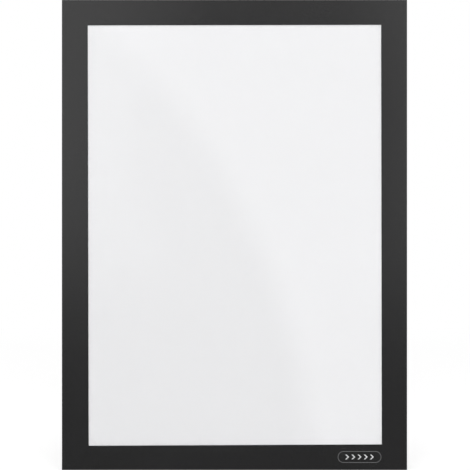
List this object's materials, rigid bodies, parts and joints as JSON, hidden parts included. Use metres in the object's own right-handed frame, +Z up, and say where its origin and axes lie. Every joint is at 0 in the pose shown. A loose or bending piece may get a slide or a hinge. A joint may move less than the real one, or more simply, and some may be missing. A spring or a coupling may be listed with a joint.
{
  "type": "document frame",
  "caption": "Slim wall-mounted document frame: black border round a clear window leaf that folds open on a film hinge, with magnet strips for closing and mounting.",
  "frame": {"origin": "middle of the wall face, in the plane of the rear magnet strips", "axes": "+Z up, +X to the right of a viewer in front of the frame, +Y into the wall, so the window faces -Y"},
  "size_m": [0.24, 0.0023, 0.327],
  "materials": {
    "satin_border": "satin",
    "clear_panel": "gloss",
    "black_panel": "matte",
    "hinge_film": "satin",
    "ferrite_rubber": "matte",
    "adhesive_tape": "satin",
    "black_adhesive": "satin",
    "white_paper": "matte"
  },
  "bodies": {
    "rear_leaf": {"back_panel": "black_panel", "wall_magnet_top": "ferrite_rubber", "wall_magnet_bottom": "ferrite_rubber", "wall_magnet_left": "ferrite_rubber", "wall_magnet_right": "ferrite_rubber", "wall_tape_top": "adhesive_tape", "wall_tape_bottom": "adhesive_tape", "wall_tape_left": "adhesive_tape", "wall_tape_right": "adhesive_tape", "document_sheet": "white_paper", "hinge_film": "hinge_film"},
    "front_leaf": {"window_panel": "clear_panel", "border_tape": "black_adhesive", "front_border": "satin_border", "closing_magnet_top": "ferrite_rubber", "closing_magnet_right": "ferrite_rubber", "closing_magnet_bottom": "ferrite_rubber", "closing_tape_top": "adhesive_tape", "closing_tape_right": "adhesive_tape", "closing_tape_bottom": "adhesive_tape"}
  },
  "joints": [
    {"name": "leaf_hinge", "type": "hinge", "parent": "rear_leaf", "child": "front_leaf", "pos_m": [-0.12, -0.0016, 0], "axis": [0, 0, -1], "range_deg": [0, 180], "deforming": ["hinge_film"]}
  ]
}
